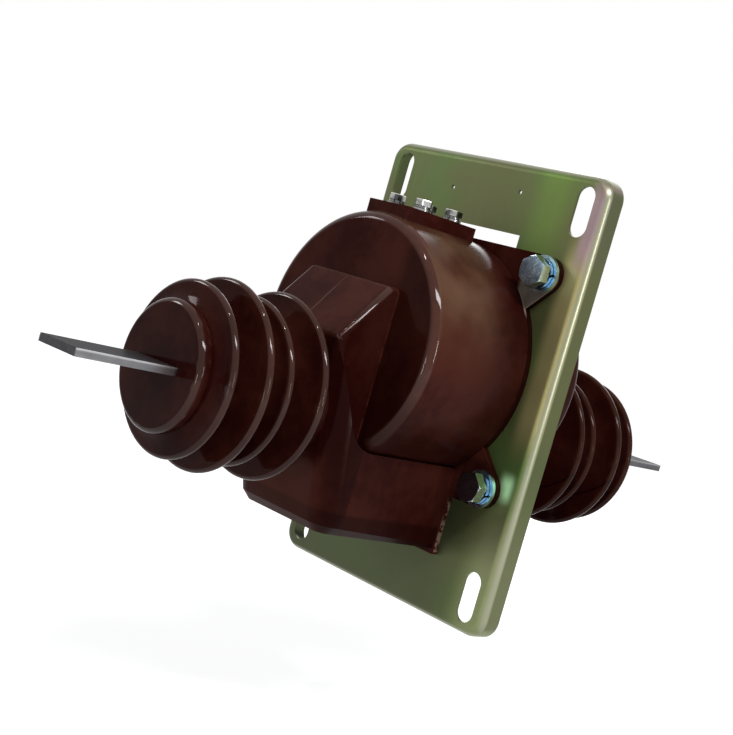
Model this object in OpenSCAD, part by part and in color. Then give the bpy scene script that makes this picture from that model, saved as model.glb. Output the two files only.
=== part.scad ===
// Through-wall current transformer: a cast resin body with a bushing at each end, on a pressed panel plate.
// X runs across the plate, Y along the primary bars with the front towards -Y, Z up. Millimetres.
// The origin is the middle of the casting's length, on the plate's two centre lines.

/* [Mounting plate] */
// Width over the bent rim
plate_w = 197; // [196:1:230]
// Height over the bent rim
plate_h = 297; // [294:1:340]
// Sheet thickness
plate_t = 2.2; // [2:0.1:3]
// Front face of the plate behind the middle of the casting
plate_y = 16.3; // [13:0.1:20]
// Depth of the rim behind the front face
rim_depth = 16; // [12:0.5:18]
// Outer radius of the bend between face and rim
bend_r = 6; // [5:0.5:8]
// Radius of the plate's corners seen from the front
plate_corner_r = 13; // [12:1:16]
// Distance across between the fixing slots
slot_pitch_x = 164; // [160:1:166]
// Distance up between the fixing slots
slot_pitch_z = 250; // [244:1:252]
// Width of a fixing slot
slot_w = 14; // [10:0.5:15]
// Length of a fixing slot, end to end
slot_len = 32.5; // [24:0.5:34]
// Width of the notch that leaves room for the terminal block
notch_w = 76.4; // [60:0.2:90]
// Top edge of that notch above the plate's centre
notch_top = 102.3; // [100:0.1:106]
// Diameter of the two holes for a rating plate
tag_hole_d = 3; // [2:0.5:4]
// Distance between the rating plate holes
tag_pitch = 59.6; // [50:0.2:64]
// Height of the left rating plate hole
tag_z = 124; // [116:0.5:130]
// How much higher the right one sits
tag_rise = 5.4; // [0:0.1:8]

/* [Drum] */
// Radius of the drum in front of the plate
drum_r = 78; // [76:0.5:80]
// Height of the drum's axis
drum_z = 13.4; // [12:0.1:15]
// Front face of the drum from the middle of the casting
drum_front = 72.7; // [72:0.1:80]
// Rear face of the drum from the middle of the casting
drum_rear = 71; // [70:0.5:80]
// Radius of the drum's rounded edges
drum_edge_r = 7; // [3:0.5:8]
// Step in radius that lets the rear half through the plate
rear_step = 1.5; // [1.2:0.1:2.5]

/* [Flange and lugs] */
// Thickness of the flange on the plate
flange_t = 5; // [4:0.5:8]
// Distance across between the lug bolts
bolt_pitch_x = 142; // [140:0.5:146]
// Distance up between the lug bolts
bolt_pitch_z = 139.5; // [137:0.5:142]
// Height of the middle of the four lug bolts
bolt_mid_z = 11.9; // [11:0.1:14]
// Radius of a lug's round end
lug_r = 12; // [12:0.5:14]
// How far the flange stands out beside the lower block
foot_side = 0.4; // [0.2:0.1:4]
// How far it stands out below the block
foot_lip = 3; // [2:0.5:4]

/* [Lower block] */
// Width of the block that holds the return leg of the primary
block_w = 92; // [88:1:96]
// Underside of the block below the plate's centre
block_drop = 106; // [104:0.5:110]
// Radius of the block's upright front corners
block_corner_r = 16; // [8:1:20]
// How far the block draws in at its foot in front
foot_draw = 8; // [4:0.5:9]
// Height over which it draws in
foot_draw_h = 15; // [8:0.5:18]
// How far it draws in at the plate
back_draw = 2.5; // [1:0.5:4]
// Reach of the block's lower edge from the middle of the casting
block_foot_y = 89.7; // [88:0.1:94]
// Height of the block's level shoulder at the drum
shoulder_z = -52; // [-54:0.5:-50]
// Angle at which the shoulder rises to the nose
shoulder_rise = 65; // [60:1:70]
// Radius of the bend between the two
shoulder_bend = 26; // [20:1:30]

/* [Housing] */
// Width of the housing
housing_w = 78; // [74:0.5:82]
// Height of its level top
housing_top = 48.4; // [44:0.2:50]
// Reach of the level top, where the slope starts, from the middle of the casting
ledge_y = 79.8; // [79:0.2:84]
// Height of the slope's lower, front end
nose_z = 12.5; // [10:0.5:14]
// Reach of the nose
nose_y = 110; // [108:0.5:112]
// Radius of the housing's edges
housing_edge_r = 4; // [3:0.5:6]
// Radius of its upright front corners low down
housing_corner_r = 14; // [8:1:16]

/* [Bushings] */
// Height of the bushings' axis
bushing_z = -29.4; // [-31:0.1:-28]
// Radius of the bushings between their sheds
core_r = 36; // [34:0.5:38]
// Radius of the disc at each end
disc_r = 39; // [38:0.5:42]
// Length of the end disc
disc_len = 8; // [6:0.5:9]
// Reach of the front bushing from the middle of the casting
front_reach = 201.7; // [198:0.1:210]
// Reach of the rear bushing
rear_reach = 196.5; // [194:0.1:205]
// Distance of the first shed's middle from the end face
shed_start = 14.9; // [14:0.1:16]
// Distance between neighbouring sheds
shed_pitch = 21; // [20:0.1:22]
// Radius of each shed, from the end inwards
shed_r = [52.2, 57.4, 51, 57]; // [44:0.1:60]
// Width of a shed's rim
rim_w = 5; // [4:0.5:6]
// Width of a shed at its root
root_w = 13; // [10:0.5:14]

/* [Primary] */
// Width of the primary bars
bar_w = 38.5; // [30:0.5:40]
// Thickness of the primary bars
bar_t = 4.8; // [4:0.1:8]
// Reach of each bar's outer end from the middle of the casting
bar_reach = 267.7; // [250:0.1:290]
// Width of the primary winding across its turns
coil_w = 22; // [16:1:26]
// Thickness of the primary winding
coil_t = 11; // [8:0.5:12]
// Reach of the winding's two upright legs from the middle
coil_reach = 64; // [61:0.5:65]
// Height of the middle of its return leg
coil_low_z = -86.5; // [-90:0.5:-82]

/* [Cores and secondary windings] */
// Outer radius of a ring core
ring_outer_r = 58; // [54:0.5:60]
// Inner radius of a ring core
ring_inner_r = 33; // [32:0.5:36]
// Length of a ring core along the bars
ring_len = 29; // [24:0.5:30]
// Thickness of the board collars on each core's ends
collar_t = 1.5; // [1:0.1:2]
// Outer radius of a secondary winding
wound_outer_r = 66; // [64:0.5:67]
// Inner radius of a secondary winding
wound_inner_r = 27; // [26:0.5:28]
// Length of a secondary winding
wound_len = 41.5; // [38:0.5:42]
// Thickness of the board ring between the two windings
spacer_t = 2.5; // [1.5:0.5:4]
// Diameter of the secondary leads
lead_d = 2; // [1.5:0.1:2.5]
// Height of the level stretch of the leads
lead_z = 82; // [81:0.1:83]
// Place of the front winding's lead ends
front_lead_y = -36; // [-38:0.5:-30]
// Place of the rear winding's lead ends
rear_lead_y = 14; // [10:0.5:30]

/* [Terminals] */
// Width of the terminal block
terminal_w = 37; // [36:0.5:44]
// Length of the terminal block
terminal_len = 63; // [56:0.5:66]
// Middle of the terminal block along the bars
terminal_y = -34.2; // [-38:0.1:-30]
// Top of the terminal block
terminal_z = 98.4; // [98:0.1:99]
// Distance across between the terminal screws
screw_pitch_x = 24; // [20:0.5:24]
// Distance along the bars between the terminal screws
screw_pitch_y = 28; // [24:0.5:34]
// Diameter of the terminal screws
screw_d = 6; // [5:0.5:6]
// Across flats of their heads
screw_af = 10; // [8:0.5:10]
// Height of their heads
screw_head_h = 4; // [3:0.5:5]
// How far the screws reach into the inserts
screw_grip = 12; // [8:0.5:12.5]
// Diameter of a threaded insert
insert_d = 10; // [9:0.5:11]
// Length of a threaded insert
insert_len = 14; // [14:0.5:15]
// Diameter of a terminal's flat washer
screw_washer_d = 12; // [11:0.5:12]
// Thickness of the terminals' flat and spring washers
screw_washer_t = 1.6; // [1:0.1:2]

/* [Plate bolts] */
// Thread diameter of the plate bolts
bolt_d = 12; // [10:1:12]
// Across flats of the bolt heads and nuts
bolt_af = 18; // [17:0.5:19]
// Height of a bolt head
bolt_head_h = 7.5; // [6:0.5:8]
// Height of a nut
nut_h = 10.5; // [8:0.5:11]
// Thread that stands out of a nut
bolt_tail = 4; // [2:0.5:8]
// Diameter of a flat washer
washer_d = 24; // [22:0.5:24]
// Thickness of a flat washer
washer_t = 2.5; // [2:0.1:3]
// Thickness of a spring washer
spring_t = 3; // [2:0.1:4]
// Hole in the lugs and plate over the bolt's diameter
bolt_play = 1.5; // [1:0.1:2]
// Turn of each bolt head, upper right, lower right, upper left, lower left
bolt_turn = [0, -16, 9, 24]; // [-30:1:30]

/* [Fits] */
// Clearance round each piece cast into the resin
cast_fit = 0.25; // [0.2:0.05:0.4]
// Clearance between the casting and the edge of the plate's opening
plate_fit = 0.8; // [0.5:0.1:0.9]
// Clearance between a screw and its thread
thread_fit = 0.1; // [0.05:0.05:0.2]

/* [Hidden] */
$fn = 72;

resin_colour = [0.24, 0.12, 0.10];
zinc_colour = [0.50, 0.52, 0.36];
steel_colour = [0.66, 0.72, 0.78];
bar_colour = [0.58, 0.58, 0.57];
copper_colour = [0.72, 0.42, 0.24];
core_colour = [0.36, 0.37, 0.39];
board_colour = [0.76, 0.66, 0.48];
brass_colour = [0.78, 0.64, 0.32];

rear_r = drum_r - rear_step;
opening_r = rear_r + plate_fit;
plate_back = plate_y + plate_t;
flange_front = plate_y - flange_t;
bolt_low_z = bolt_mid_z - bolt_pitch_z / 2;
bolt_high_z = bolt_mid_z + bolt_pitch_z / 2;
lug_places = [[bolt_pitch_x / 2, bolt_high_z], [bolt_pitch_x / 2, bolt_low_z],
              [-bolt_pitch_x / 2, bolt_high_z], [-bolt_pitch_x / 2, bolt_low_z]];
slope = atan2(housing_top - nose_z, nose_y - ledge_y);
front_lean = (nose_y - block_foot_y) / (nose_z + block_drop);
screw_places = [for (x = [-1, 1], y = [-1, 1]) [x * screw_pitch_x / 2, terminal_y + y * screw_pitch_y / 2]];
insert_low_z = terminal_z - insert_len;
lead_x = screw_pitch_x / 2;
wound_reach = spacer_t / 2 + cast_fit + wound_len;
wound_mid = spacer_t / 2 + cast_fit + wound_len / 2;
wound_top_z = drum_z + sqrt(pow(wound_outer_r, 2) - pow(lead_x - lead_d / 2, 2));
bar_inner_y = coil_reach + cast_fit;

// Points along an arc in the plane, from angle a0 to a1.
function arc(centre, r, a0, a1, steps = 8) =
    [for (i = [0:steps]) centre + r * [cos(a0 + (a1 - a0) * i / steps), sin(a0 + (a1 - a0) * i / steps)]];

// Turns a drawing of radius against Y about an axis along Y at height z.
module turned(z) {
    translate([0, 0, z]) rotate([-90, 0, 0]) rotate_extrude($fn = 96) children();
}

// Gives a drawing of X against Z a thickness along Y, from y to y + t.
module slab(y, t) {
    translate([0, y + t, 0]) rotate([90, 0, 0]) linear_extrude(t) children();
}

// A round bar along Y from y to y + len.
module rod(x, z, y, len, r) {
    translate([x, y, z]) rotate([-90, 0, 0]) cylinder(h = len, r = r, $fn = 48);
}

// A rounded rectangle about the middle of the drawing.
module soft_rect(w, h, r) {
    square([w - 2 * r, h], center = true);
    square([w, h - 2 * r], center = true);
    for (x = [-1, 1], y = [-1, 1]) translate([x * (w / 2 - r), y * (h / 2 - r)]) circle(r);
}

// A slot standing upright about the middle of the drawing.
module upright_slot(w, len) {
    square([w, len - w], center = true);
    for (s = [-1, 1]) translate([0, s * (len - w) / 2]) circle(w / 2);
}

// A hexagon with a corner up, by its width across flats.
module hexagon(af) {
    rotate(90) circle(af / 2 / cos(30), $fn = 6);
}

// A hexagonal head or nut with its face chamfered, from z = 0 up.
module hex_block(af, h, both = false) {
    bevel = af * 0.09;
    intersection() {
        linear_extrude(h) hexagon(af);
        rotate_extrude($fn = 60) polygon(concat(
            both ? [[0, 0], [af / 2, 0], [af / 2 + bevel * 2, bevel]] : [[0, 0], [af, 0]],
            both ? [[af / 2 + bevel * 2, h - bevel]] : [[af, h - bevel], [af / 2 + bevel * 2, h - bevel]],
            [[af / 2, h], [0, h]]));
    }
}

// A split spring washer from z = 0 up: a ring with a slanted cut.
module spring_washer(inner_d, outer_d, t) {
    cut = t * 0.5;
    difference() {
        cylinder(h = t, d = outer_d, $fn = 60);
        translate([0, 0, -1]) cylinder(h = t + 2, d = inner_d, $fn = 60);
        translate([outer_d / 2 - 2, 0, t / 2]) rotate([25, 0, 0]) cube([outer_d, cut, t * 4], center = true);
    }
}

// A plain washer from z = 0 up.
module flat_washer(inner_d, outer_d, t) {
    difference() {
        cylinder(h = t, d = outer_d, $fn = 60);
        translate([0, 0, -1]) cylinder(h = t + 2, d = inner_d, $fn = 60);
    }
}

// Half of a shed's width at the share u of its height: wide and hollow at the root, straight near the rim.
function shed_half(u) = rim_w / 2 + (root_w - rim_w) / 2 * pow(1 - u, 2.2);

// Outline points of one shed at distance s with radius r, from the end face inwards.
function shed_points(s, r) = let (lip = rim_w / 2, steps = 6) concat(
    [for (i = [0:steps - 1]) let (u = i / steps) [core_r + (r - lip - core_r) * u, s - shed_half(u)]],
    arc([r - lip, s], lip, -90, 90),
    [for (i = [steps - 1:-1:0]) let (u = i / steps) [core_r + (r - lip - core_r) * u, s + shed_half(u)]]);

// One bushing as a drawing of radius against distance from its end face, down to depth.
module bushing_outline(depth) {
    edge = 4;
    neck = 1.2;
    polygon(concat(
        [[0, 0]],
        arc([disc_r - edge, edge], edge, -90, 0),
        [[disc_r, disc_len - 1], [disc_r - 1, disc_len], [core_r + neck, disc_len + 0.3]],
        [for (i = [0:len(shed_r) - 1]) each shed_points(shed_start + i * shed_pitch, shed_r[i])],
        [[core_r, depth], [0, depth]]));
}

// The drum: a turned body with rounded ends, narrower behind the plate's front face.
module drum() {
    turned(drum_z) polygon(concat(
        [[0, -drum_front]],
        arc([drum_r - drum_edge_r, drum_edge_r - drum_front], drum_edge_r, -90, 0),
        [[drum_r, plate_y], [rear_r, plate_y]],
        arc([rear_r - drum_edge_r, drum_rear - drum_edge_r], drum_edge_r, 0, 90),
        [[0, drum_rear]]));
}

// The lower block before its shoulder is cut, from its front corners back to the plate, smaller by inset.
module block_form(inset) {
    corner_x = block_w / 2 - block_corner_r - inset;
    low = inset - block_drop;
    back_w = block_w - 2 * inset;
    foot = [[block_corner_r - foot_draw, 0], [block_corner_r - foot_draw * 0.35, foot_draw_h * 0.35],
            [block_corner_r, foot_draw_h]];
    hull() {
        for (x = [-1, 1]) {
            for (ring = foot)
                translate([x * corner_x, block_corner_r - block_foot_y, low + ring[1]])
                    cylinder(h = 0.1, r = ring[0], $fn = 32);
            translate([x * corner_x, block_corner_r - nose_y + front_lean * housing_edge_r, nose_z - housing_edge_r])
                cylinder(h = 0.1, r = block_corner_r, $fn = 32);
        }
        for (edge = [0, 1])
            translate([edge * back_draw - back_w / 2, plate_y - 1, low + (1 - edge) * back_draw])
                cube([back_w - 2 * edge * back_draw, 1, -back_draw - low]);
    }
}

// What is cut off the lower block, seen from the side: above a level shoulder that bends up to the nose.
module above_shoulder() {
    turn_y = (nose_z - shoulder_z) / tan(shoulder_rise) - nose_y;
    bend_y = turn_y + shoulder_bend * tan(shoulder_rise / 2);
    clear = 60;
    polygon(concat(
        [[turn_y - clear, shoulder_z + clear * tan(shoulder_rise)]],
        arc([bend_y, shoulder_z + shoulder_bend], shoulder_bend, -90 - shoulder_rise, -90),
        [[clear, shoulder_z], [clear, shoulder_z + clear * tan(shoulder_rise)]]));
}

// The finished lower block, smaller by inset.
module lower_block(inset = 0) {
    difference() {
        block_form(inset);
        translate([-block_w, 0, -inset]) rotate([90, 0, 90]) linear_extrude(2 * block_w) above_shoulder();
    }
}

// The housing: a wedge with a level ledge and a sloped top, between the drum's face and the bushing.
module housing() {
    r = housing_edge_r;
    x = housing_w / 2 - r;
    run_in = drum_front - r;
    low_z = shoulder_z;
    behind = 4; // of its lower front behind the block's front
    hull() for (s = [-1, 1]) {
        translate([s * x, r - nose_y, nose_z + r * tan(slope) - r / cos(slope)]) sphere(r, $fn = 20);
        translate([s * x, r * tan(slope / 2) - ledge_y, housing_top - r]) sphere(r, $fn = 20);
        translate([s * x, -run_in, housing_top - r]) sphere(r, $fn = 20);
        translate([s * (housing_w / 2 - housing_corner_r),
                   housing_corner_r + behind - nose_y + front_lean * (nose_z - low_z), low_z])
            cylinder(h = 1, r = housing_corner_r, $fn = 32);
        translate([s * x, -run_in, low_z]) sphere(r, $fn = 20);
    }
}

// Where one side of a lug starts inside the drum: the lug at place p points away from the drum's axis.
function lug_side(p, side) = let (out = (p - [0, drum_z]) / norm(p - [0, drum_z]))
    [0, drum_z] + out * drum_r * 0.8 + side * lug_r * [-out[1], out[0]];

// The right half of the flange's outline: a straight top edge, two lugs, and the foot round the lower block.
flange_half = let (
    up = [bolt_pitch_x / 2, bolt_high_z],
    low = [bolt_pitch_x / 2, bolt_low_z],
    up_angle = atan2(up[1] - drum_z, up[0]),
    low_angle = atan2(low[1] - drum_z, low[0]),
    foot_x = block_w / 2 + foot_side,
    foot_z = -block_drop - foot_lip)
    concat(arc(up, lug_r, 90, up_angle - 90, 12), [lug_side(up, -1), lug_side(low, 1)],
           arc(low, lug_r, low_angle + 90, -90, 12), [[foot_x - 1.5, bolt_low_z - lug_r], [foot_x, foot_z]]);

// The flange seen from the front.
module flange_outline() {
    n = len(flange_half);
    polygon(concat(flange_half, [for (i = [n - 1:-1:0]) [-flange_half[i][0], flange_half[i][1]]]));
}

// The terminal block on top of the drum.
module terminal_pad() {
    translate([0, terminal_y, drum_z]) linear_extrude(terminal_z - drum_z) soft_rect(terminal_w, terminal_len, 1.2);
}

// The primary winding seen from the side, grown by g: one long loop through the cores and back below them.
module coil_outline(g) {
    top = drum_z + coil_t / 2;
    low = coil_low_z - coil_t / 2;
    translate([0, (top + low) / 2]) difference() {
        soft_rect(2 * (coil_reach + g), top - low + 2 * g, 14);
        soft_rect(2 * (coil_reach - coil_t - g), top - low - 2 * (coil_t + g), 5);
    }
}

module coil(g) {
    translate([-coil_w / 2 - g, 0, 0]) rotate([90, 0, 90]) linear_extrude(coil_w + 2 * g) coil_outline(g);
}

// One lead: down from its insert, level along the bars, and down to its winding.
module lead(x, from_y, to_y, g) {
    r = lead_d / 2 + g;
    top = insert_low_z - cast_fit + g;
    low = wound_top_z + cast_fit - g;
    translate([x, from_y, lead_z]) cylinder(h = top - lead_z, r = r, $fn = 24);
    rod(x, lead_z, min(from_y, to_y), abs(to_y - from_y), r);
    translate([x, to_y, low]) cylinder(h = lead_z - low, r = r, $fn = 24);
    for (y = [from_y, to_y]) translate([x, y, lead_z]) sphere(r, $fn = 24);
}

module leads(from_y, to_y, g) {
    for (x = [-lead_x, lead_x]) lead(x, from_y, to_y, g);
}

front_row_y = terminal_y - screw_pitch_y / 2;
rear_row_y = terminal_y + screw_pitch_y / 2;

// A flat bar from y to y + len, grown by g all round.
module flat_bar(y, len, g) {
    translate([-bar_w / 2 - g, y, bushing_z - bar_t / 2 - g]) cube([bar_w + 2 * g, len, bar_t + 2 * g]);
}

// Everything that the resin is cast round, with its clearance.
module cast_in_room() {
    turned(drum_z) translate([wound_inner_r - cast_fit, -wound_reach - cast_fit])
        square([wound_outer_r - wound_inner_r + 2 * cast_fit, 2 * (wound_reach + cast_fit)]);
    coil(cast_fit);
    flat_bar(-front_reach - 1, front_reach + 1 - coil_reach, cast_fit);
    flat_bar(coil_reach, rear_reach + 1 - coil_reach, cast_fit);
    leads(front_row_y, front_lead_y, cast_fit);
    leads(rear_row_y, rear_lead_y, cast_fit);
    for (p = screw_places)
        translate([p[0], p[1], insert_low_z - cast_fit]) cylinder(h = insert_len + 1, r = insert_d / 2 + cast_fit, $fn = 48);
}

module resin_body() color(resin_colour) difference() {
    union() {
        drum();
        turned(bushing_z) translate([0, -front_reach])
            bushing_outline(front_reach - drum_front + 5);
        turned(bushing_z) mirror([0, 1]) translate([0, -rear_reach])
            bushing_outline(rear_reach - drum_rear + 5);
        lower_block();
        housing();
        mirror([0, 1, 0]) {
            lower_block(rear_step);
            housing();
        }
        slab(flange_front, flange_t) flange_outline();
        terminal_pad();
    }
    cast_in_room();
    for (p = lug_places) rod(p[0], p[1], flange_front - 1, flange_t + 2, (bolt_d + bolt_play) / 2);
}

// Section through the plate's rim: radius from the corner's centre against depth.
module rim_section() {
    module dish(inset) {
        r = bend_r - inset;
        flat = plate_corner_r - bend_r;
        translate([0, inset]) square([flat, rim_depth]);
        translate([flat, bend_r]) circle(r);
        translate([0, bend_r]) square([plate_corner_r - inset, rim_depth]);
    }
    intersection() {
        difference() {
            dish(0);
            dish(plate_t);
        }
        square([plate_corner_r, rim_depth]);
    }
}

// The plate's blank: a flat face with its rim bent back all round.
module plate_pan() {
    x = plate_w / 2 - plate_corner_r;
    z = plate_h / 2 - plate_corner_r;
    slab(plate_y, plate_t) {
        square([2 * x, 2 * z + plate_corner_r], center = true);
        square([2 * x + plate_corner_r, 2 * z], center = true);
    }
    for (turn = [0:3]) {
        long = turn % 2 == 0 ? 2 * z : 2 * x;
        out = turn % 2 == 0 ? x : z;
        rotate([0, turn * 90, 0]) {
            translate([out, plate_y, -long / 2]) linear_extrude(long) rim_section();
            translate([out, plate_y, -long / 2]) rotate([-90, 0, 0]) rotate_extrude(angle = 90) rim_section();
        }
    }
}

// The plate's opening: round for the drum, with a notch above and one below.
module opening_outline() {
    translate([0, drum_z]) circle(opening_r);
    translate([-notch_w / 2, 0]) square([notch_w, notch_top]);
    side = block_w / 2 - rear_step + plate_fit;
    low = block_drop - rear_step + plate_fit;
    translate([-side, -low]) square([2 * side, low]);
}

module mounting_plate() color(zinc_colour) difference() {
    plate_pan();
    slab(plate_y - 1, plate_t + 2) {
        opening_outline();
        for (x = [-1, 1], z = [-1, 1])
            translate([x * slot_pitch_x / 2, z * slot_pitch_z / 2]) upright_slot(slot_w, slot_len);
    }
    for (p = lug_places) rod(p[0], p[1], plate_y - 1, plate_t + 2, (bolt_d + bolt_play) / 2);
    for (s = [0, 1])
        rod((s - 0.5) * tag_pitch - 1.8, tag_z + s * tag_rise, plate_y - 1, plate_t + 2, tag_hole_d / 2);
}

module primary_bar_front() color(bar_colour) flat_bar(-bar_reach, bar_reach - bar_inner_y, 0);

module primary_bar_rear() color(bar_colour) flat_bar(bar_inner_y, bar_reach - bar_inner_y, 0);

module primary_winding() color(copper_colour) coil(0);

module ring(inner_r, outer_r, y, len) {
    turned(drum_z) translate([inner_r, y]) square([outer_r - inner_r, len]);
}

module ring_core(y) color(core_colour) ring(ring_inner_r, ring_outer_r, y - ring_len / 2, ring_len);

module ring_core_front() ring_core(-wound_mid);

module ring_core_rear() ring_core(wound_mid);

module core_collars(y) color(board_colour) for (s = [-1, 1])
    ring(ring_inner_r, ring_outer_r, y + s * (ring_len / 2 + cast_fit + collar_t / 2) - collar_t / 2, collar_t);

module core_collars_front() core_collars(-wound_mid);

module core_collars_rear() core_collars(wound_mid);

// A secondary winding: a closed ring of wire with its core inside.
module secondary_winding(y) color(copper_colour) {
    room = ring_len + 2 * collar_t + 4 * cast_fit;
    turned(drum_z) difference() {
        translate([wound_inner_r, y - wound_len / 2]) square([wound_outer_r - wound_inner_r, wound_len]);
        translate([ring_inner_r - cast_fit, y - room / 2]) square([ring_outer_r - ring_inner_r + 2 * cast_fit, room]);
    }
}

module secondary_winding_front() secondary_winding(-wound_mid);

module secondary_winding_rear() secondary_winding(wound_mid);

module winding_spacer() color(board_colour) ring(wound_inner_r, wound_outer_r, -spacer_t / 2, spacer_t);

module secondary_leads_front() color(copper_colour) leads(front_row_y, front_lead_y, 0);

module secondary_leads_rear() color(copper_colour) leads(rear_row_y, rear_lead_y, 0);

module terminal_inserts() color(brass_colour) for (p = screw_places) translate([p[0], p[1], insert_low_z]) difference() {
    cylinder(h = insert_len, d = insert_d, $fn = 48);
    translate([0, 0, insert_len - screw_grip - 0.5]) cylinder(h = screw_grip + 2, d = screw_d + 2 * thread_fit, $fn = 48);
}

module terminal_flat_washers() color(steel_colour) for (p = screw_places)
    translate([p[0], p[1], terminal_z]) flat_washer(screw_d + 0.5, screw_washer_d, screw_washer_t);

module terminal_spring_washers() color(steel_colour) for (p = screw_places)
    translate([p[0], p[1], terminal_z + screw_washer_t])
        rotate(p[0] * 5) spring_washer(screw_d + 0.4, screw_af, screw_washer_t);

module terminal_screws() color(steel_colour) for (p = screw_places)
    translate([p[0], p[1], terminal_z + 2 * screw_washer_t]) rotate(p[0] * 2 + p[1]) {
        hex_block(screw_af, screw_head_h);
        translate([0, 0, -2 * screw_washer_t - screw_grip])
            cylinder(h = screw_grip + 2 * screw_washer_t + 1, d = screw_d, $fn = 48);
    }

// Puts a piece made from z = 0 up on each lug's axis, with its foot at y, pointing to the front or the rear.
module on_lugs(y, front = true) {
    for (i = [0:3]) translate([lug_places[i][0], y, lug_places[i][1]])
        rotate([front ? 90 : -90, 0, 0]) rotate(bolt_turn[i]) children();
}

washer_face = flange_front - washer_t;
head_face = washer_face - spring_t;
nut_face = plate_back + washer_t;

module plate_bolts() color(steel_colour) on_lugs(head_face) {
    hex_block(bolt_af, bolt_head_h);
    shank = nut_face + nut_h + bolt_tail - head_face;
    translate([0, 0, -shank]) cylinder(h = shank + 1, d = bolt_d, $fn = 48);
}

module bolt_spring_washers() color(steel_colour) on_lugs(washer_face)
    spring_washer(bolt_d + 0.6, bolt_af + 1.5, spring_t);

module bolt_front_washers() color(steel_colour) on_lugs(flange_front) flat_washer(bolt_d + 1, washer_d, washer_t);

module bolt_rear_washers() color(steel_colour) on_lugs(plate_back, false) flat_washer(bolt_d + 1, washer_d, washer_t);

module plate_nuts() color(steel_colour) on_lugs(nut_face, false) difference() {
    hex_block(bolt_af, nut_h, true);
    translate([0, 0, -1]) cylinder(h = nut_h + 2, d = bolt_d + 2 * thread_fit, $fn = 48);
}

resin_body();
mounting_plate();
primary_bar_front();
primary_bar_rear();
primary_winding();
ring_core_front();
ring_core_rear();
core_collars_front();
core_collars_rear();
secondary_winding_front();
secondary_winding_rear();
winding_spacer();
secondary_leads_front();
secondary_leads_rear();
terminal_inserts();
terminal_flat_washers();
terminal_spring_washers();
terminal_screws();
plate_bolts();
bolt_spring_washers();
bolt_front_washers();
bolt_rear_washers();
plate_nuts();
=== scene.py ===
"""Through-wall current transformer: finishes, room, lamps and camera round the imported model.

The scene is in metres, in the model's own frame: x to the right, y to the rear, z up. The places and
sizes written below are in millimetres, unless their comment says otherwise.
"""
import math

import bmesh
import bpy
from mathutils import Matrix, Vector


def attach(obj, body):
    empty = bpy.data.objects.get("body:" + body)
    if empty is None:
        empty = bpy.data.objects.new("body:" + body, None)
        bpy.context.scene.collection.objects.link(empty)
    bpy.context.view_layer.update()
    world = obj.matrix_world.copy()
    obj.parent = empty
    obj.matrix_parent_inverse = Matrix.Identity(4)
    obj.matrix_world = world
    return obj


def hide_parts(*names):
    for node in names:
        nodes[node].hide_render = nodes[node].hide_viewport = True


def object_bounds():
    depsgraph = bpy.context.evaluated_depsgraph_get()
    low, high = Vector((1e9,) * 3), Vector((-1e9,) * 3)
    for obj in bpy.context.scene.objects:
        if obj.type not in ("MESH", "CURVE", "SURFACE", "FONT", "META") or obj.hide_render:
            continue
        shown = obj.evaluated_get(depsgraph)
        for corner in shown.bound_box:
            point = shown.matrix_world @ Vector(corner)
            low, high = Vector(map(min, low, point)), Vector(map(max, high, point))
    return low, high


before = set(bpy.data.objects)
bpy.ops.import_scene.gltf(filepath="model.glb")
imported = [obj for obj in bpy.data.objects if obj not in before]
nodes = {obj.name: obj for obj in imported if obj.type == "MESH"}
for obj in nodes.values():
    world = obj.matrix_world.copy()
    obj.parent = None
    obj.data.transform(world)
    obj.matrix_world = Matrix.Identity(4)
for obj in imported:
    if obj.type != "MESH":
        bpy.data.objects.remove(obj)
cad_low, cad_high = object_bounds()
MM = 0.001

# Places on the object, as in the part's source.
PLATE_FRONT = 16.3
FLANGE_FRONT = 11.3
DRUM_Z = 13.4
DRUM_R = 78.0
DRUM_FACE = -72.7
BLOCK_FACE = -89.7
NOSE = -110.0
DISC_FACE = -201.7
BAR_EDGE = 19.0
BAR_TOP = -27.0
BOLT_X = 71.0
BOLT_MID_Z = 11.9
BOLT_RISE = 69.75
SLOT_X = 82.0
SLOT_Z = 125.0
BOLT_WASHER_T = 2.5
BOLT_SPRING_T = 3.0
BOLT_HEAD_H = 7.5
BOLT_WASHER_FRONT = FLANGE_FRONT - BOLT_WASHER_T
BOLT_SPRING_FRONT = BOLT_WASHER_FRONT - BOLT_SPRING_T
BOLT_HEAD_FRONT = BOLT_SPRING_FRONT - BOLT_HEAD_H
BOLT_THREAD_R = 6.0
BOLT_THREAD_TURN = 1.75
TERMINAL_Z = 98.4
TERMINAL_Y = -34.2
SCREW_X = 12.0
SCREW_Y = 14.0
SCREW_WASHER_T = 1.6
# How much farther from the middle the upper and lower rims of the plate lie than its side rims.
RIM_RISE = 50.0

# Camera, worked out for a picture of 733 x 735 pixels whose long side is the sensor's width.
CAMERA_AZIMUTH = 46.19
CAMERA_ELEVATION = 3.38
CAMERA_ROLL = 16.05
CAMERA_DISTANCE = 930.0
CAMERA_TARGET = (-0.68, -44.35, -5.20)
FOCAL_PIXELS = 1468.0
PICTURE_LONG_SIDE = 735
SENSOR_WIDTH = 36.0
CLIP_METRES = (0.05, 20.0)


def add_object(name, data):
    made = bpy.data.objects.new(name, data)
    bpy.context.scene.collection.objects.link(made)
    return made


def direction(azimuth, elevation):
    """The way from the model out to a place, its azimuth counted from the front towards the right."""
    turn, lift = math.radians(azimuth), math.radians(elevation)
    return Vector((math.sin(turn) * math.cos(lift), -math.cos(turn) * math.cos(lift), math.sin(lift)))


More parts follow.
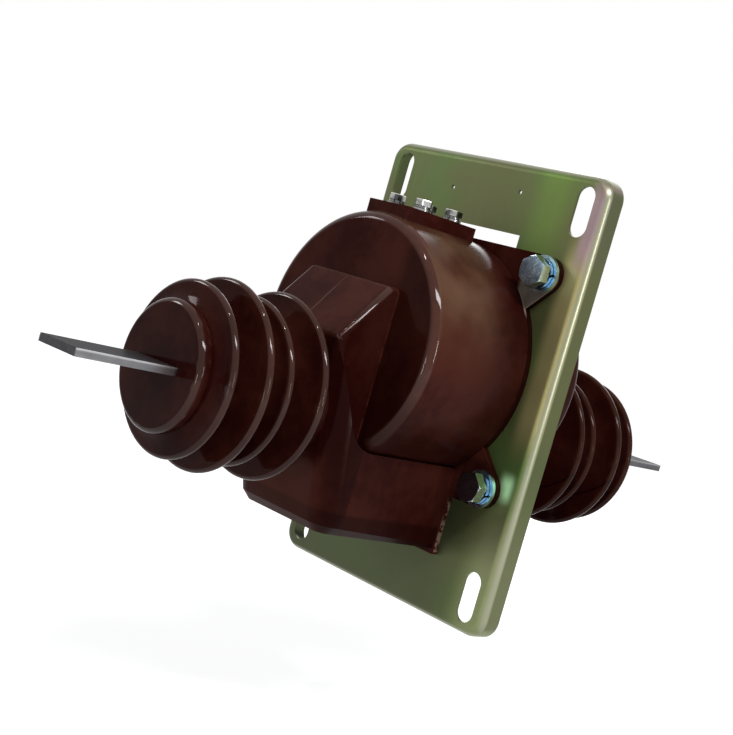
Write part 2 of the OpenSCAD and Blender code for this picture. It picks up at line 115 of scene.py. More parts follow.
def make_camera():
    data = bpy.data.cameras.new("camera")
    data.sensor_width = SENSOR_WIDTH
    data.lens = FOCAL_PIXELS * SENSOR_WIDTH / PICTURE_LONG_SIDE
    data.clip_start, data.clip_end = CLIP_METRES
    back = direction(CAMERA_AZIMUTH, CAMERA_ELEVATION)
    look = (-back).to_track_quat("-Z", "Y").to_matrix().to_4x4()
    roll = Matrix.Rotation(math.radians(CAMERA_ROLL), 4, "Z")
    place = Vector(CAMERA_TARGET) * MM + back * CAMERA_DISTANCE * MM
    camera = add_object("camera", data)
    camera.matrix_world = Matrix.Translation(place) @ look @ roll
    bpy.context.scene.camera = camera


# Materials.

class Value:
    """A shader socket that adds Math nodes when it is used in an expression."""

    def __init__(self, paint, socket):
        self.paint = paint
        self.socket = socket

    def _math(self, operation, *values):
        return self.paint.node("ShaderNodeMath", {"operation": operation}, values)

    def __add__(self, other):
        return self._math("ADD", self, other)

    def __sub__(self, other):
        return self._math("SUBTRACT", self, other)

    def __mul__(self, other):
        return self._math("MULTIPLY", self, other)

    def __radd__(self, other):
        return self._math("ADD", other, self)

    def __rsub__(self, other):
        return self._math("SUBTRACT", other, self)

    def __rmul__(self, other):
        return self._math("MULTIPLY", other, self)

    def __abs__(self):
        return self._math("ABSOLUTE", self)

    def sqrt(self):
        return self._math("SQRT", self)

    def sine(self):
        return self._math("SINE", self)

    def angle_over(self, across):
        """The angle of the point whose height is this value and whose distance across is the other."""
        return self._math("ARCTAN2", self, across)

    def high(self, other):
        """The larger of the two."""
        return self._math("MAXIMUM", self, other)

    def clamp(self):
        return self.paint.node("ShaderNodeClamp", {}, {"Value": self})

    def step(self, start, end):
        """0 before start, 1 past end and smooth between them, also where end is the lower of the two."""
        settings = {"interpolation_type": "SMOOTHSTEP"}
        values = {"Value": self, "From Min": min(start, end), "From Max": max(start, end)}
        rise = self.paint.node("ShaderNodeMapRange", settings, values)
        return rise if end > start else 1 - rise

    def band(self, middle, half, soft):
        """1 within half of middle, fading out over soft."""
        return abs(self - middle).step(half + soft, half)


class Paint:
    """Builds one material: a Principled shader and whatever the expressions on it add."""

    def __init__(self, name, **shader_values):
        self.material = bpy.data.materials.new(name)
        self.material.use_nodes = True
        self.tree = self.material.node_tree
        self.shader = self.tree.nodes["Principled BSDF"]
        for socket, value in shader_values.items():
            self.set(socket.replace("_", " "), value)
        place = self.tree.nodes.new("ShaderNodeTexCoord").outputs["Object"]
        self.place = Value(self, place)
        parts = self.tree.nodes.new("ShaderNodeSeparateXYZ")
        self.tree.links.new(parts.inputs[0], place)
        self.x, self.y, self.z = [Value(self, output) * (1 / MM) for output in parts.outputs]

    def node(self, kind, settings=None, values=(), output=0):
        """Adds a node of this type: its settings first, then the values or links of its sockets."""
        made = self.tree.nodes.new(kind)
        for key, setting in (settings or {}).items():
            setattr(made, key, setting)
        named = values.items() if isinstance(values, dict) else enumerate(values)
        for key, value in named:
            self._feed(made.inputs[key], value)
        return Value(self, made.outputs[output])

    def _feed(self, socket, value):
        if isinstance(value, Value):
            self.tree.links.new(socket, value.socket)
        else:
            socket.default_value = value

    def _colour(self, value):
        """A colour of three numbers gets the fourth that a socket needs."""
        return (*value, 1.0) if isinstance(value, tuple) else value

    def set(self, socket, value):
        self._feed(self.shader.inputs[socket], self._colour(value))

    def mix(self, share, first, second):
        """first where share is 0, second where it is 1."""
        values = {0: share, 6: self._colour(first), 7: self._colour(second)}
        return self.node("ShaderNodeMix", {"data_type": "RGBA"}, values, output=2)

    def coats(self, base, *layers):
        """The base with each layer, a share and its colour, laid over what is there so far."""
        for share, colour in layers:
            base = self.mix(share, base, colour)
        return base

    def stretched(self, x, y, z):
        """Object coordinates scaled along each axis, for patterns that are longer one way."""
        return self.node("ShaderNodeMapping", {}, {"Vector": self.place, "Scale": (x, y, z)})

    def noise(self, size, detail=3.0, rough=0.55, where=None):
        """Smooth noise from 0 to 1 with features of about this size."""
        values = {"Vector": where or self.place, "Scale": 1 / (size * MM)}
        values.update({"Detail": detail, "Roughness": rough})
        return self.node("ShaderNodeTexNoise", {}, values)

    def spots(self, size, share):
        """Scattered round spots of about this share of their cells, 1 at their middles."""
        cells = self.node("ShaderNodeTexVoronoi", {}, {"Vector": self.place, "Scale": 1 / (size * MM)})
        return cells.step(share, share * 0.4)

    def bump(self, height, depth, under=None):
        """Raises the surface by height times depth, over another bump where one is given."""
        values = {"Strength": 1.0, "Distance": depth * MM, "Height": height}
        if under is not None:
            values["Normal"] = under
        return self.node("ShaderNodeBump", {}, values)


# Cast resin. Its faces keep a low index, because pale surroundings would turn so dark a gloss grey. A
# clear coat with the usual index lies on the tightly rounded outer edges alone.
RESIN_INDEX = 1.11
RESIN_GLOSS = (1.0, 0.65, 0.62)
COAT_INDEX = 1.5
COAT_ROUGHNESS = 0.06
RESIN_DEEP = (0.022, 0.0034, 0.0026)
RESIN_BROWN = (0.046, 0.0110, 0.0070)
# Painted shade, laid on the casting where little light falls.
RESIN_SHADE = (0.0050, 0.0006, 0.0005)
# Painted light on the block's front, and a painted highlight along the housing's seam with the drum.
RESIN_LIT = (0.080, 0.0200, 0.0125)
# Dust and mould-line tint. The same colour gives the painted light on the drum's top and the painted
# sheen on rounded edges.
RESIN_DUST_AND_SHEEN = (0.120, 0.066, 0.036)
# A pale grey-brown patch on the upper lugs.
RESIN_LUG_GREY = (0.20, 0.165, 0.13)
RESIN_FLASH = (0.30, 0.22, 0.16)
# The attribute of the merged copies that says how far a face corner lies in such an edge.
EDGE_LAYER = "rounded_edge"


class Casting:
    """Where the forms of the cast body lie: masks that are 1 on a form and 0 off it.

    The two numbers of each step are where its fade starts and where it ends over the form.
    """

    def __init__(self, paint):
        x, y, z = paint.x, paint.y, paint.z
        out = (x * x + (z - DRUM_Z) * (z - DRUM_Z)).sqrt()
        self.bushing = y.step(NOSE - 3.0, NOSE - 6.0)
        self.bushing_low = self.bushing * z.step(-45.0, -80.0)
        self.rear = y.step(15.0, 40.0)
        self.front = y.step(40.0, 15.0)
        body = 1 - self.bushing

        self.drum_side = out.step(DRUM_R - 1.0, DRUM_R - 0.3) * out.step(DRUM_R + 1.0, DRUM_R + 0.4)
        self.drum_top = self.drum_side * z.step(-10.0, 50.0) * y.step(5.0, -30.0)
        self.drum_back = self.drum_side * y.step(-45.0, 5.0)
        self.drum_edge_low = out.step(66.0, 69.0) * y.step(-60.0, -64.0) * z.step(0.0, -35.0) * body

        in_front = y.step(DRUM_FACE + 0.5, DRUM_FACE - 0.5)
        self.housing = abs(x).step(44.0, 41.0) * in_front * body
        self.housing_side = x.step(30.0, 42.0) * y.step(DRUM_FACE + 1.2, DRUM_FACE + 0.2) * body
        self.housing_seam = y.band(DRUM_FACE - 0.8, 0.3, 0.2) * z.step(50.0, 49.0) * z.step(-48.0, -40.0)
        slope = z.step(10.0, 14.0) * z.step(49.0, 46.0) * y.step(DRUM_FACE - 5.0, DRUM_FACE - 8.0)
        slope = slope * y.step(NOSE - 3.0, NOSE)
        self.parting_line = abs(x + 1.0 + (y + 95.0) * 0.06).step(0.7, 0.2) * slope

        behind_face = y.step(BLOCK_FACE - 6.0, BLOCK_FACE - 4.0)
        self.block = z.step(-30.0, -56.0) * behind_face * y.step(12.0, 10.0)
        self.block_middle = self.block * x.step(46.0, 20.0)
        self.block_side = self.block * x.step(34.0, 45.0)
        self.block_foot = self.block * z.step(-90.0, -93.0)
        self.block_back_edge = x.step(45.3, 45.9) * y.step(12.3, 13.1) * z.step(-66.0, -72.0)

        self.low_lug = x.step(50.0, 53.0) * z.step(-38.0, -44.0) * y.step(4.0, 7.0)
        lug_height = z.step(52.0, 58.0) * z.step(84.0, 78.0)
        self.high_lug = y.band(FLANGE_FRONT, 0.7, 0.4) * x.step(52.0, 56.0) * lug_height
        behind_front = y.step(FLANGE_FRONT + 0.3, FLANGE_FRONT + 0.7)
        before_plate = y.step(PLATE_FRONT + 0.7, PLATE_FRONT + 0.3)
        self.lug_rim = x.step(50.0, 52.0) * behind_front * before_plate


def cast_resin():
    """Dark red-brown cast resin: cloudy pigment, moulding lines, flash, specks and a pale patch on the
    upper lugs, with painted light on the drum's top and the block's front, painted shade on the
    bushings, housing side, rear, drum back, block side and lugs, and painted highlights along the
    housing seam and the rounded edges.
    """
    paint = Paint("cast_resin", IOR=RESIN_INDEX, Specular_Tint=RESIN_GLOSS, Coat_IOR=COAT_INDEX,
                  Coat_Roughness=COAT_ROUGHNESS)
    at = Casting(paint)
    cloud = paint.noise(64.0, 2.0)
    pigment = (cloud * 0.75 + paint.noise(7.0) * 0.25).step(0.38, 0.64)
    # Painted light on the drum's upper side, mottled like a film and stronger higher up.
    drum_top_sheen = at.drum_top * (paint.noise(38.0, 2.0).step(0.25, 0.80) * 0.8 + 0.1)
    drum_top_sheen = drum_top_sheen * (paint.z.step(20.0, 62.0) * 0.40 + 0.34)
    # A broken painted highlight along the housing's seam with the drum face.
    seam = at.housing_seam * paint.noise(5.0).step(0.42, 0.54)
    # A pale grey-brown patch on the upper lugs, rougher too.
    lug_patch = (at.high_lug * (paint.noise(9.0) * 0.6 + 0.35)).clamp()
    ragged = at.block_back_edge * paint.noise(7.0, 4.0, 0.7).step(0.48, 0.58)
    specks = paint.spots(4.2, 0.09) * paint.noise(24.0).step(0.55, 0.68)
    edge = paint.node("ShaderNodeAttribute", {"attribute_name": EDGE_LAYER}, output=2)

    # Painted shade: the bushings, the housing's right side, the rear and the drum's side towards the
    # plate are darkened where less light falls.
    shade = at.bushing * 0.30 + at.housing_side * 0.55 + at.rear * 0.4 + at.drum_back * 0.50
    paint.set("Base Color", paint.coats(
        paint.mix(pigment, RESIN_DEEP, RESIN_BROWN),
        (drum_top_sheen, RESIN_DUST_AND_SHEEN),
        (shade, RESIN_SHADE),
        # Painted light on the block's front and middle.
        (at.block_middle * 0.55, RESIN_LIT),
        # Painted shade on the block's right side and its foot.
        (at.block_side * 0.30 + at.block_foot * 0.40, RESIN_SHADE),
        # The painted highlight along the housing's seam.
        (seam * 0.40, RESIN_LIT),
        (at.parting_line * 0.30, RESIN_DUST_AND_SHEEN),
        # Painted shade on the lower lug and the lugs' rims.
        (at.low_lug * 0.50, RESIN_SHADE),
        (at.lug_rim * 0.75, RESIN_SHADE),
        (lug_patch, RESIN_LUG_GREY),
        (ragged * 0.40, RESIN_FLASH),
        (specks * 0.35, RESIN_DUST_AND_SHEEN),
        # A painted sheen along the tightly rounded edges.
        (edge * 0.08, RESIN_DUST_AND_SHEEN),
    ))
    smooth = 0.06 + cloud * 0.04 + at.drum_side * 0.14 + at.block * 0.22
    paint.set("Roughness", smooth + specks * 0.3 + lug_patch * 0.3 + ragged * 0.4)
    shine = at.front * 0.25 + 0.08 + at.housing * 0.24 - at.drum_edge_low * 0.18 - at.bushing_low * 0.12
    paint.set("Coat Weight", edge * (1 - at.block) * shine)
    waves = paint.bump(paint.noise(30.0, 1.5), 0.10)
    grain = paint.bump(paint.noise(2.2, 2.0), 0.006, waves)
    paint.set("Normal", paint.bump(at.parting_line - specks * 0.4 + ragged * 0.3, 0.15, grain))
    return paint.material


ZINC_OLIVE = (0.090, 0.096, 0.034)
ZINC_GREEN = (0.075, 0.125, 0.030)
ZINC_VIVID = (0.105, 0.20, 0.028)
ZINC_GREY = (0.054, 0.062, 0.030)
ZINC_PALE = (0.24, 0.26, 0.13)
ZINC_PINK = (0.34, 0.22, 0.27)
ZINC_RUSTY = (0.31, 0.265, 0.115)
ZINC_MINT = (0.50, 0.80, 0.42)
# Rubbed zinc with a painted highlight, along the bends of the rims.
ZINC_RUBBED_HIGHLIGHT = (0.24, 0.245, 0.165)
# The rims' sides: painted shade, turning to painted light towards the bottom.
ZINC_SHADED_SIDE = (0.066, 0.080, 0.027)
ZINC_LIT_LOW_SIDE = (0.16, 0.165, 0.085)
# Small marks. The same colour gives painted shade on the upper and left rims.
ZINC_MARK_AND_SHADE = (0.030, 0.032, 0.014)


def yellow_zinc():
    """Yellow zinc on pressed sheet: olive with green, grey and pink drifts, streaks and small marks, a
    rubbed bend with a painted highlight, and painted shade on the rims' sides, lighter towards the
    bottom and darkest on the upper and left rims.
    """
    paint = Paint("yellow_zinc", Metallic=0.75)
    x, y, z = paint.x, paint.y, paint.z
    drift = paint.noise(70.0, 2.0)
    streaks = paint.noise(9.0, where=paint.stretched(1.0, 1.0, 0.12))
    marks = paint.spots(6.0, 0.08) * paint.noise(40.0).step(0.55, 0.7)
    low_left = (z + drift * 60.0).step(20.0, -60.0) * (x - drift * 40.0).step(70.0, 20.0)
    high_left = z.step(60.0, 95.0) * x.step(55.0, 30.0)
    green = x.band(57.0, 2.0, 20.0) * z.step(50.0, 90.0) * (paint.noise(30.0) * 0.7 + 0.3)
    rusty = x.step(76.0, 86.0) * z.band(40.0, 44.0, 36.0)
    mint = x.band(86.0, 1.5, 6.5) * z.band(-52.5, 2.0, 10.0)
    pink = x.band(SLOT_X + 11.0, 3.5, 6.0) * z.band(SLOT_Z - 8.0, 14.0, 22.0)
    pale_corner = x.step(62.0, 88.0) * z.step(-50.0, -110.0)

    square = abs(x).high(abs(z) - RIM_RISE)
    bend = square.step(94.0, 97.0) * y.band(PLATE_FRONT + 3.1, 1.3, 1.6)
    rim = square.step(96.0, 98.0) * y.step(PLATE_FRONT + 4.4, PLATE_FRONT + 5.8)
    # Painted shade on the upper and left rims.
    shaded_rims = (abs(z) - RIM_RISE).step(96.5, 98.0).high(x.step(-96.0, -98.0))
    side = paint.mix(z.step(-20.0, -120.0) * 0.5, ZINC_SHADED_SIDE, ZINC_LIT_LOW_SIDE)

    paint.set("Base Color", paint.coats(
        paint.mix(drift.step(0.35, 0.68), ZINC_OLIVE, ZINC_GREEN),
        (streaks.step(0.45, 0.80) * 0.07, ZINC_PALE),
        (low_left * 0.85, ZINC_GREY),
        (high_left * 0.25, ZINC_GREY),
        (green * 0.65, ZINC_VIVID),
        (rusty * 0.85, ZINC_RUSTY),
        (mint * 0.9, ZINC_MINT),
        (pink * 0.6, ZINC_PINK),
        (pale_corner * 0.6, ZINC_PALE),
        (marks * 0.6, ZINC_MARK_AND_SHADE),
        # The rubbed bend with its painted highlight.
        (bend * 0.9, ZINC_RUBBED_HIGHLIGHT),
        # The rims' sides: painted shade, lighter low down and darkest on the upper and left rims.
        (rim * 0.9, paint.mix(shaded_rims * 0.7, side, ZINC_MARK_AND_SHADE)),
    ))
    grain = paint.noise(1.6, 2.0, where=paint.stretched(1.0, 1.0, 0.25))
    paint.set("Roughness", 0.38 + paint.noise(18.0) * 0.10 + grain * 0.05 + marks * 0.2 - bend * 0.14)
    paint.set("Normal", paint.bump(grain, 0.010, paint.bump(paint.noise(55.0, 1.0), 0.25)))
    return paint.material


BAR_DARK = (0.030, 0.030, 0.033)
BAR_LIGHT = (0.100, 0.098, 0.102)
BAR_EDGE_DARK = (0.22, 0.22, 0.225)
# A painted highlight along the upper corners of the bar's sides, on rubbed metal.
BAR_EDGE_HIGHLIGHT = (0.56, 0.56, 0.57)
BAR_EDGE_DULL = (0.060, 0.060, 0.064)
BAR_REAR = (0.04, 0.04, 0.042)
# A painted reddish reflection of the resin, with painted shade, on the bar next to it.
BAR_RESIN_REFLECTION = (0.060, 0.034, 0.032)


def grey_bar():
    """Tinned bar: dull dark grey faces with drawn streaks along them, rubbed edges with a painted
    highlight along their upper corners, and a painted reddish reflection and shade next to the resin.
    """
    paint = Paint("tinned_bar", Metallic=1.0, Specular_Tint=(0.45, 0.45, 0.45))
    streaks = paint.noise(2.4, where=paint.stretched(1.0, 0.06, 1.0))
    blotches = paint.noise(9.0)
    face = paint.mix(streaks * 0.6 + blotches * 0.4, BAR_DARK, BAR_LIGHT)
    below_corner = 1 - paint.z.step(BAR_TOP - 1.5, BAR_TOP - 0.5)
    # The bar's sides: rubbed metal with a painted highlight at their upper corners, dull below.
    edge = paint.coats(
        paint.mix(streaks, BAR_EDGE_DARK, BAR_EDGE_HIGHLIGHT),
        (below_corner * (blotches * 0.3 + 0.55), BAR_EDGE_DULL),
    )
    paint.set("Base Color", paint.coats(
        face,
        (abs(paint.x).step(BAR_EDGE - 1.0, BAR_EDGE), edge),
        (paint.y.step(0.0, 60.0) * 0.3, BAR_REAR),
        # Painted reflection and shade next to the resin.
        (paint.y.band(DISC_FACE, 2.0, 22.0) * 0.65, BAR_RESIN_REFLECTION),
    ))
    paint.set("Roughness", 0.38 + blotches * 0.2)
    paint.set("Normal", paint.bump(streaks, 0.03))
    return paint.material


# Painted shade in the gaps between stacked washers and at the foot of the screws.
GAP_SHADE = (0.012, 0.014, 0.016)


def cloudy_steel(paint, dark, light):
    """Sets the roughness of plated metal and gives its colour, cloudy between two tints."""
    paint.set("Roughness", 0.16 + paint.noise(3.0) * 0.10)
    return paint.mix(paint.noise(5.0, 2.0).step(0.30, 0.70), dark, light)


def fine_dents(paint):
    return paint.bump(paint.noise(4.0, 2.0), 0.03)


BOLT_DARK = (0.24, 0.34, 0.44)
BOLT_LIGHT = (0.44, 0.56, 0.62)
HEAD_GREENISH = (0.50, 0.60, 0.46)
# A painted dark reflection on the faces of the lower bolts' heads.
HEAD_DARK_REFLECTION = (0.14, 0.135, 0.155)
HEAD_SPECK = (0.05, 0.06, 0.08)
SPRING_BLUE = (0.18, 0.34, 0.56)
WASHER_CYAN = (0.46, 0.68, 0.78)


def bolt_plating():
    """Bluish zinc on the plate bolts: greenish heads, blue spring washers, cyan washers and threads,
    with a painted dark reflection on the lower heads' faces and painted shade in the gaps between the
    washers.
    """
    paint = Paint("blue_zinc", Metallic=1.0)
    x, y, z = paint.x, paint.y, paint.z
    head = y.step(BOLT_SPRING_FRONT + 0.1, BOLT_SPRING_FRONT - 0.1)
    face = y.step(BOLT_HEAD_FRONT + 0.6, BOLT_HEAD_FRONT + 0.2)
    specks = paint.noise(1.6, 2.0).step(0.56, 0.62)
    spring = y.band((BOLT_SPRING_FRONT + BOLT_WASHER_FRONT) / 2, 1.3, 0.2)
    before_flange = y.step(PLATE_FRONT, FLANGE_FRONT + 0.5)
    washer = y.step(BOLT_WASHER_FRONT - 0.3, BOLT_WASHER_FRONT - 0.1) * before_flange
    across = abs(x) - BOLT_X
    along = abs(z - BOLT_MID_Z) - BOLT_RISE
    out = (across * across + along * along).sqrt()
    gaps = y.band(BOLT_SPRING_FRONT, 0.15, 0.25).high(y.band(BOLT_WASHER_FRONT, 0.15, 0.25))
    paint.set("Base Color", paint.coats(
        cloudy_steel(paint, BOLT_DARK, BOLT_LIGHT),
        (head * (1 - face) * 0.8, HEAD_GREENISH),
        # The painted dark reflection on the lower heads.
        (face * z.step(0.0, -20.0) * 0.85, HEAD_DARK_REFLECTION),
        (face * specks * 0.5, HEAD_SPECK),
        (spring * 0.8, SPRING_BLUE),
        (washer * 0.85, WASHER_CYAN),
        # Painted shade in the gaps between the washers.
        (gaps * out.step(10.2, 9.9) * 0.9, GAP_SHADE),
    ))
    tail = out.step(BOLT_THREAD_R + 0.4, BOLT_THREAD_R + 0.2) * y.step(PLATE_FRONT, PLATE_FRONT + 1.0)
    turns = (y * (2 * math.pi / BOLT_THREAD_TURN)).sine()
    paint.set("Normal", paint.bump(turns * tail, 0.5, fine_dents(paint)))
    return paint.material


SCREW_DARK = (0.16, 0.16, 0.155)
SCREW_LIGHT = (0.40, 0.395, 0.38)
# Painted dark reflection on alternate facets of the screw heads.
SCREW_FACET_REFLECTION = (0.035, 0.035, 0.036)
# A painted highlight on the tops of the screw heads.
SCREW_TOP_HIGHLIGHT = (0.72, 0.72, 0.70)
SCREW_SPRING = (0.12, 0.12, 0.12)
# Turn of the painted dark facet reflections round a screw's axis, in radians.
FACET_TURN = 0.6


def screw_plating():
    """Bright zinc on the terminal screws and their washers, with painted dark reflections on the heads'
    facets, a painted highlight on the heads' tops and painted shade in the gaps between them.
    """
    paint = Paint("bright_zinc", Metallic=1.0)
    stack = paint.z - TERMINAL_Z
    head_foot = 2 * SCREW_WASHER_T
    across = abs(paint.x) - SCREW_X
    along = abs(paint.y - TERMINAL_Y) - SCREW_Y
    facets = (along.angle_over(across) * 3.0 + FACET_TURN).sine().step(-0.3, 0.3)
    head = stack.step(head_foot + 0.1, head_foot + 0.3) * stack.step(7.1, 6.9)
    gaps = stack.band(SCREW_WASHER_T, 0.12, 0.2).high(stack.band(head_foot, 0.12, 0.2))
    paint.set("Base Color", paint.coats(
        cloudy_steel(paint, SCREW_DARK, SCREW_LIGHT),
        # The painted dark reflections on alternate facets.
        (head * facets * 0.85, SCREW_FACET_REFLECTION),
        # The painted highlight on the heads' tops.
        (stack.step(6.6, 6.9) * 0.8, SCREW_TOP_HIGHLIGHT),
        (stack.band(1.5 * SCREW_WASHER_T, 0.5, 0.2) * 0.7, SCREW_SPRING),
        # Painted shade in the gaps between the washers and at the foot of the stack.
        (gaps.high(stack.step(0.4, 0.1)) * 0.9, GAP_SHADE),
    ))
    paint.set("Normal", fine_dents(paint))
    return paint.material


def turned_brass():
    paint = Paint("insert_brass", Metallic=1.0)
    paint.set("Base Color", cloudy_steel(paint, (0.50, 0.33, 0.12), (0.70, 0.50, 0.22)))
    paint.set("Normal", fine_dents(paint))
    return paint.material


def wound_wire(name, dark, light, turn):
    """Wire or strip wound round the bars' axis, as fine rings one turn apart."""
    paint = Paint(name, Metallic=0.8)
    rings = (paint.y * (2 * math.pi / turn)).sine()
    paint.set("Base Color", paint.mix(rings * 0.5 + 0.5, dark, light))
    paint.set("Roughness", 0.3 + paint.noise(6.0) * 0.15)
    paint.set("Normal", paint.bump(rings, turn * 0.2))
    return paint.material


def plain_board():
    """Pressed board with fibres."""
    paint = Paint("board", Roughness=0.8)
    fibres = paint.noise(1.5, 4.0, 0.7)
    paint.set("Base Color", paint.mix(fibres, (0.42, 0.31, 0.17), (0.62, 0.50, 0.32)))
    paint.set("Normal", paint.bump(fibres, 0.05))
    return paint.material


def make_finishes():
    """The material of every node."""
    copper = wound_wire("copper", (0.50, 0.20, 0.10), (0.62, 0.29, 0.15), 2.0)
    enamel = wound_wire("enamelled_wire", (0.28, 0.09, 0.03), (0.48, 0.19, 0.07), 1.6)
    strip = wound_wire("core_steel", (0.07, 0.07, 0.08), (0.14, 0.14, 0.15), 0.8)
    wearers = (
        (cast_resin(), ("resin_body",)),
        (yellow_zinc(), ("mounting_plate",)),
        (grey_bar(), ("primary_bar_front", "primary_bar_rear")),
        (bolt_plating(), ("plate_bolts", "bolt_spring_washers", "bolt_front_washers",
                          "bolt_rear_washers", "plate_nuts")),
        (screw_plating(), ("terminal_screws", "terminal_spring_washers", "terminal_flat_washers")),
        (turned_brass(), ("terminal_inserts",)),
        (copper, ("primary_winding",)),
        (strip, ("ring_core_front", "ring_core_rear")),
        (enamel, ("secondary_winding_front", "secondary_winding_rear",
                  "secondary_leads_front", "secondary_leads_rear")),
        (plain_board(), ("core_collars_front", "core_collars_rear", "winding_spacer")),
    )
    return {node: material for material, names in wearers for node in names}


def dress(piece, material):
    piece.data.materials.clear()
    piece.data.materials.append(material)


# Merged copies of the model's own pieces, with smooth curves.

# Points closer together than this are one.
MERGE_DISTANCE = 0.002
# A region is flat where its faces turn less than LEVEL, in radians, and it is wider than FLAT_WIDTH.
LEVEL = math.radians(0.25)
FLAT_WIDTH = 12.0
# Edges that turn more than this, in degrees, stay sharp.
SHARP_TURN = 32.0
RESIN_SHARP_TURN = 25.0
# An outer edge is tightly rounded where its radius is below this and its facets turn at least so much.
EDGE_RADIUS = 9.0
LEAST_TURN = 4 * LEVEL

# The slot, the turn past which edges stay sharp, and the nodes that a smooth copy stands for.
SMOOTH_COPIES = (
    ("cast_resin", RESIN_SHARP_TURN, ("resin_body",)),
    ("yellow_zinc_sheet", SHARP_TURN, ("mounting_plate",)),
    ("blue_zinc", SHARP_TURN, ("plate_bolts", "bolt_spring_washers", "bolt_front_washers",
                               "bolt_rear_washers", "plate_nuts")),
    ("bright_zinc", SHARP_TURN, ("terminal_screws", "terminal_spring_washers", "terminal_flat_washers")),
)


def level_region(start, seen):
    """The faces that run on from this one without turning, which are marked as seen."""
    region, queue = [], [start]
    seen.add(start.index)
    while queue:
        face = queue.pop()
        region.append(face)
        for edge in face.edges:
            for other in edge.link_faces if len(edge.link_faces) == 2 else ():
                if other.index not in seen and other.normal.angle(start.normal, 1.0) < LEVEL:
                    seen.add(other.index)
                    queue.append(other)
    return region


def flat_regions(work):
    """The normal of each wide flat region, by the index of each of its faces."""
    found = {}
    seen = set()
    for start in work.faces:
        if start.index in seen:
            continue
        region = level_region(start, seen)
        corners = [corner.co for face in region for corner in face.verts]
        span = max(max(c[i] for c in corners) - min(c[i] for c in corners) for i in range(3))
        if sum(face.calc_area() for face in region) / max(span, MM) > FLAT_WIDTH * MM:
            found.update((face.index, start.normal.copy()) for face in region)
    return found


def fans(corner, sharp):
    """A group for each face round a corner, shared by faces that join without a sharp edge."""
    group = {face.index: face.index for face in corner.link_faces}
    for edge in corner.link_edges:
        if len(edge.link_faces) == 2 and edge.calc_face_angle(0.0) < sharp:
            first, second = (group[face.index] for face in edge.link_faces)
            if first != second:
                group = {key: first if value == second else value for key, value in group.items()}
    return group


def corner_normals(work, flats, sharp):
    """A normal for every face corner: true over flat regions and even over the curves between them."""
    chosen = {}
    for corner in work.verts:
        group = fans(corner, sharp)
        for name in set(group.values()):
            faces = [face for face in corner.link_faces if group[face.index] == name]
            level = [flats[face.index] for face in faces if face.index in flats]
            even = Vector((0.0, 0.0, 0.0))
            for face in faces:
                loop = next(loop for loop in face.loops if loop.vert == corner)
                even += face.normal * loop.calc_angle()
            for face in faces:
                best = max(level, key=face.normal.dot) if level else even.normalized()
                chosen[(face.index, corner.index)] = best
    return [chosen[(face.index, loop.vert.index)] for face in work.faces for loop in face.loops]


def edge_shares(work, flats):
    """For every face corner, 1 where it lies well inside a tightly rounded outer edge, else 0."""
    tight = set()
    for edge in work.edges:
        if len(edge.link_faces) != 2:
            continue
        turn = edge.calc_face_angle_signed(0.0)
        if turn < LEAST_TURN:
            continue
        first, second = (face.calc_center_median() for face in edge.link_faces)
        along = (edge.verts[1].co - edge.verts[0].co).normalized()
        gap = (second - first) - along * (second - first).dot(along)
        if turn * EDGE_RADIUS * MM > gap.length:
            tight.update(face.index for face in edge.link_faces)
    tight.difference_update(flats)
    inside = set()
    for corner in work.verts:
        if all(face.index in tight for face in corner.link_faces):
            inside.add(corner.index)
    return [float(loop.vert.index in inside) for face in work.faces for loop in face.loops]


def smooth_copy(node, material, sharp):
    """A merged copy that stands for a model's piece, smooth over its curves and sharp over its edges."""
    mesh = nodes[node].data.copy()
    mesh.name = node + "_smooth"
    piece = add_object(node + "_smooth", mesh)
    work = bmesh.new()
    work.from_mesh(mesh)
    bmesh.ops.remove_doubles(work, verts=work.verts, dist=MERGE_DISTANCE * MM)
    bmesh.ops.dissolve_degenerate(work, edges=work.edges, dist=MERGE_DISTANCE * MM)
    work.normal_update()
    work.faces.index_update()
    work.verts.index_update()
    flats = flat_regions(work)
    normals = corner_normals(work, flats, math.radians(sharp))
    shares = edge_shares(work, flats)
    work.to_mesh(mesh)
    work.free()
    mesh.attributes.new(EDGE_LAYER, "FLOAT", "CORNER").data.foreach_set("value", shares)
    mesh.shade_smooth()
    mesh.normals_split_custom_set(normals)
    dress(piece, material)
    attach(piece, "root")
    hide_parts(node)


def dress_model(finishes):
    for node, material in finishes.items():
        dress(nodes[node], material)
    for slot, sharp, names in SMOOTH_COPIES:
        for node in names:
            smooth_copy(node, finishes[node], sharp)


# Room: sky, floor and lamps.

SKY_TINT = (0.86, 0.90, 1.0, 1.0)
SKY_LEVEL = 0.14
WHITE = (1.0, 1.0, 1.0)
# The floor's half width, and how far it lies below the object, in metres.
FLOOR_HALF = 6.0
FLOOR_DROP = 0.11
FLOOR_GREY = (0.60, 0.60, 0.60)
# The floor's own light near the object, how much more it has far away, and where that starts and ends.
FLOOR_GLOW = 0.66
FLOOR_GLOW_RISE = 0.32
FLOOR_GLOW_FADE = (300.0, 1600.0)
# Each lamp's azimuth and elevation in degrees, distance, width and height in metres, watts and colour.
LAMPS = {
    "window": (66.0, 45.0, 1.7, 1.15, 0.24, 30.0, (0.96, 0.97, 1.0)),
    "skylight": (3.0, 57.0, 1.7, 0.05, 0.16, 4.0, WHITE),
    "left_window": (-53.0, 24.0, 1.8, 0.26, 0.38, 6.0, WHITE),
    "side_window": (88.0, 6.0, 1.7, 0.06, 0.50, 6.0, WHITE),
    "rear_fill": (208.0, 28.0, 1.9, 1.00, 1.00, 12.0, WHITE),
    "low_window": (14.0, -5.0, 1.5, 0.05, 0.20, 1.4, WHITE),
}


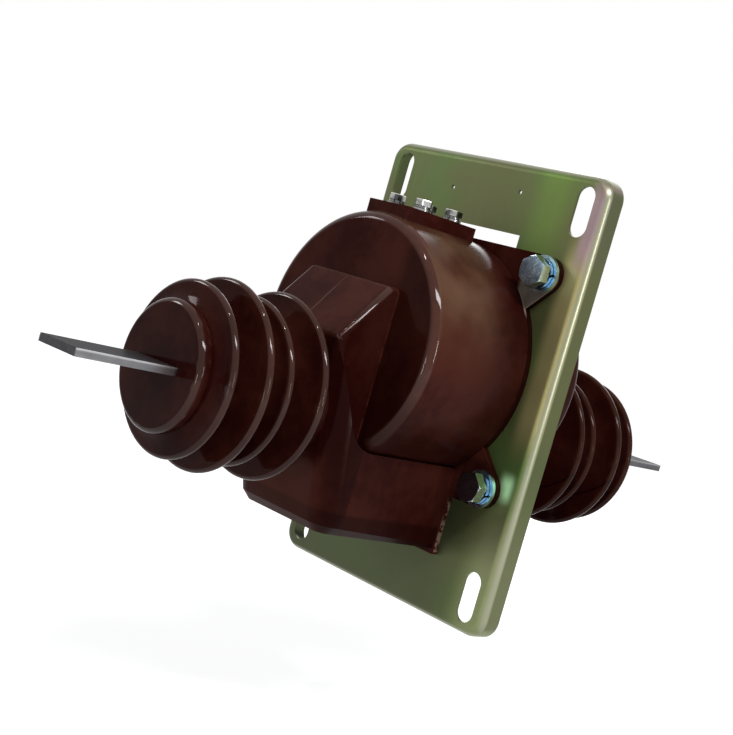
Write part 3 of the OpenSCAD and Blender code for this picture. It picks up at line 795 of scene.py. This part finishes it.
def seen_directly(tree):
    """1 for camera, glossy and transmission rays, 0 for the rays that light the object."""
    path = tree.nodes.new("ShaderNodeLightPath")
    share = path.outputs["Is Camera Ray"]
    for name in ("Is Glossy Ray", "Is Transmission Ray"):
        larger = tree.nodes.new("ShaderNodeMath")
        larger.operation = "MAXIMUM"
        tree.links.new(larger.inputs[0], share)
        tree.links.new(larger.inputs[1], path.outputs[name])
        share = larger.outputs[0]
    return share


def make_world():
    """A dim sky that lights the object, and white where the surroundings are seen."""
    world = bpy.data.worlds.new("studio")
    bpy.context.scene.world = world
    world.use_nodes = True
    tree = world.node_tree
    sky = tree.nodes["Background"]
    sky.inputs["Color"].default_value = SKY_TINT
    sky.inputs["Strength"].default_value = SKY_LEVEL
    white = tree.nodes.new("ShaderNodeBackground")
    white.inputs["Color"].default_value = (*WHITE, 1.0)
    both = tree.nodes.new("ShaderNodeMixShader")
    tree.links.new(both.inputs[0], seen_directly(tree))
    tree.links.new(both.inputs[1], sky.outputs[0])
    tree.links.new(both.inputs[2], white.outputs[0])
    tree.links.new(tree.nodes["World Output"].inputs["Surface"], both.outputs[0])


def make_floor():
    """A pale floor that shows the object's shadow near it and runs on into the white far away."""
    work = bmesh.new()
    bmesh.ops.create_grid(work, x_segments=1, y_segments=1, size=FLOOR_HALF)
    bmesh.ops.translate(work, verts=work.verts, vec=(0, 0, cad_low.z - FLOOR_DROP))
    mesh = bpy.data.meshes.new("floor")
    work.to_mesh(mesh)
    work.free()
    floor = add_object("floor", mesh)
    paint = Paint("pale_floor", Base_Color=FLOOR_GREY, Roughness=0.9, Specular_IOR_Level=0.0)
    tree = paint.tree
    away = (paint.x * paint.x + paint.y * paint.y).sqrt()
    glow = away.step(*FLOOR_GLOW_FADE) * FLOOR_GLOW_RISE + FLOOR_GLOW
    seen = Value(paint, seen_directly(tree)) * glow
    light = tree.nodes.new("ShaderNodeEmission")
    both = tree.nodes.new("ShaderNodeAddShader")
    tree.links.new(light.inputs["Strength"], seen.socket)
    tree.links.new(both.inputs[0], paint.shader.outputs[0])
    tree.links.new(both.inputs[1], light.outputs[0])
    tree.links.new(tree.nodes["Material Output"].inputs["Surface"], both.outputs[0])
    dress(floor, paint.material)


def make_lamps():
    """Area lamps round the object, each turned to its middle."""
    for name, (azimuth, elevation, distance, width, height, watts, colour) in LAMPS.items():
        data = bpy.data.lights.new(name, "AREA")
        data.shape = "RECTANGLE"
        data.size = width
        data.size_y = height
        data.energy = watts
        data.color = colour
        lamp = add_object(name, data)
        lamp.location = direction(azimuth, elevation) * distance
        lamp.rotation_mode = "QUATERNION"
        lamp.rotation_quaternion = (-lamp.location).to_track_quat("-Z", "Y")


bpy.context.scene.view_settings.view_transform = "Standard"
make_camera()
make_world()
make_floor()
make_lamps()
dress_model(make_finishes())
